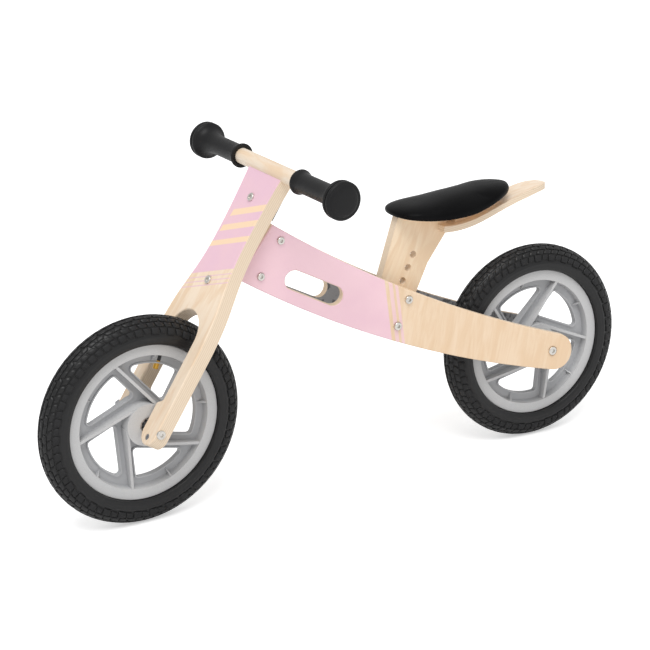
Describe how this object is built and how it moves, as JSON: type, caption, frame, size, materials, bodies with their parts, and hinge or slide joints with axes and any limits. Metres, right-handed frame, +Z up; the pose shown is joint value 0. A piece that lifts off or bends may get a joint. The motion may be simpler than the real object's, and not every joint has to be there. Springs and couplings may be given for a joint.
{
  "type": "balance bike",
  "caption": "Child's wooden balance bike with a splayed plywood frame, plywood fork, round handlebar, padded saddle and air-filled wheels with swirled spokes.",
  "frame": {"origin": "on the ground, midway between the two wheels", "axes": "+X forward, +Y the rider's left, +Z up"},
  "size_m": [0.9396, 0.3576, 0.5092],
  "materials": {
    "painted_ply": "printed and lacquered birch plywood",
    "birch": "clear lacquered birch",
    "fork_ply": "printed and lacquered plywood",
    "hidden_wood": "plain hardwood",
    "steel": "zinc plated",
    "knuckle_metal": "die cast",
    "nylon": "plain",
    "rim_plastic": "moulded nylon, satin grey",
    "tyre_rubber": "black",
    "tube_rubber": "black",
    "valve_brass": "bright",
    "grip_rubber": "matt black",
    "cover": "black leatherette over foam"
  },
  "bodies": {
    "frame": {"frame_plate_left": "painted_ply", "frame_plate_right": "painted_ply", "head_block": "hidden_wood", "head_tube": "steel", "pivot_bushings": "nylon", "head_bolts": "steel", "head_nuts": "steel", "seat_blocks": "hidden_wood", "seat_bolts": "steel", "seat_nuts": "steel", "rear_axle_bolt": "steel", "rear_axle_nut": "steel", "rear_axle_spacers": "steel", "rear_bearing_spacer": "steel", "rear_inner_races": "steel", "seat_post": "birch", "seat_base": "hidden_wood", "seat_pad": "cover", "tail_board": "birch", "tail_spacer": "hidden_wood", "seat_screws": "steel", "tail_screws": "steel"},
    "fork": {"fork_board": "fork_ply", "steering_knuckles": "knuckle_metal", "pivot_bolt": "steel", "pivot_nut": "steel", "fork_bolts": "steel", "leg_screws": "steel", "handlebar": "birch", "handlebar_screws": "steel", "grip_left": "grip_rubber", "grip_right": "grip_rubber", "front_axle_bolt": "steel", "front_axle_nut": "steel", "front_axle_washers": "steel", "front_bearing_spacer": "steel", "front_inner_races": "steel"},
    "front_wheel": {"front_rim": "rim_plastic", "front_tyre": "tyre_rubber", "front_inner_tube": "tube_rubber", "front_valve": "valve_brass", "front_valve_cap": "valve_brass", "front_outer_races": "steel", "front_bearing_balls": "steel"},
    "rear_wheel": {"rear_rim": "rim_plastic", "rear_tyre": "tyre_rubber", "rear_inner_tube": "tube_rubber", "rear_valve": "valve_brass", "rear_valve_cap": "valve_brass", "rear_outer_races": "steel", "rear_bearing_balls": "steel"}
  },
  "joints": [
    {"name": "steering", "type": "hinge", "parent": "frame", "child": "fork", "pos_m": [0.14284, 0, 0.36405], "axis": [-0.5446, 0, 0.8387], "range_deg": [-39.35, 30.65]},
    {"name": "front_wheel_spin", "type": "hinge", "parent": "fork", "child": "front_wheel", "pos_m": [0.31992, 0.00243, 0.14995], "axis": [-0.0636, 0.9971, -0.0413], "continuous": true},
    {"name": "rear_wheel_spin", "type": "hinge", "parent": "frame", "child": "rear_wheel", "pos_m": [-0.32, 0, 0.15], "axis": [0, 1, 0], "continuous": true}
  ]
}
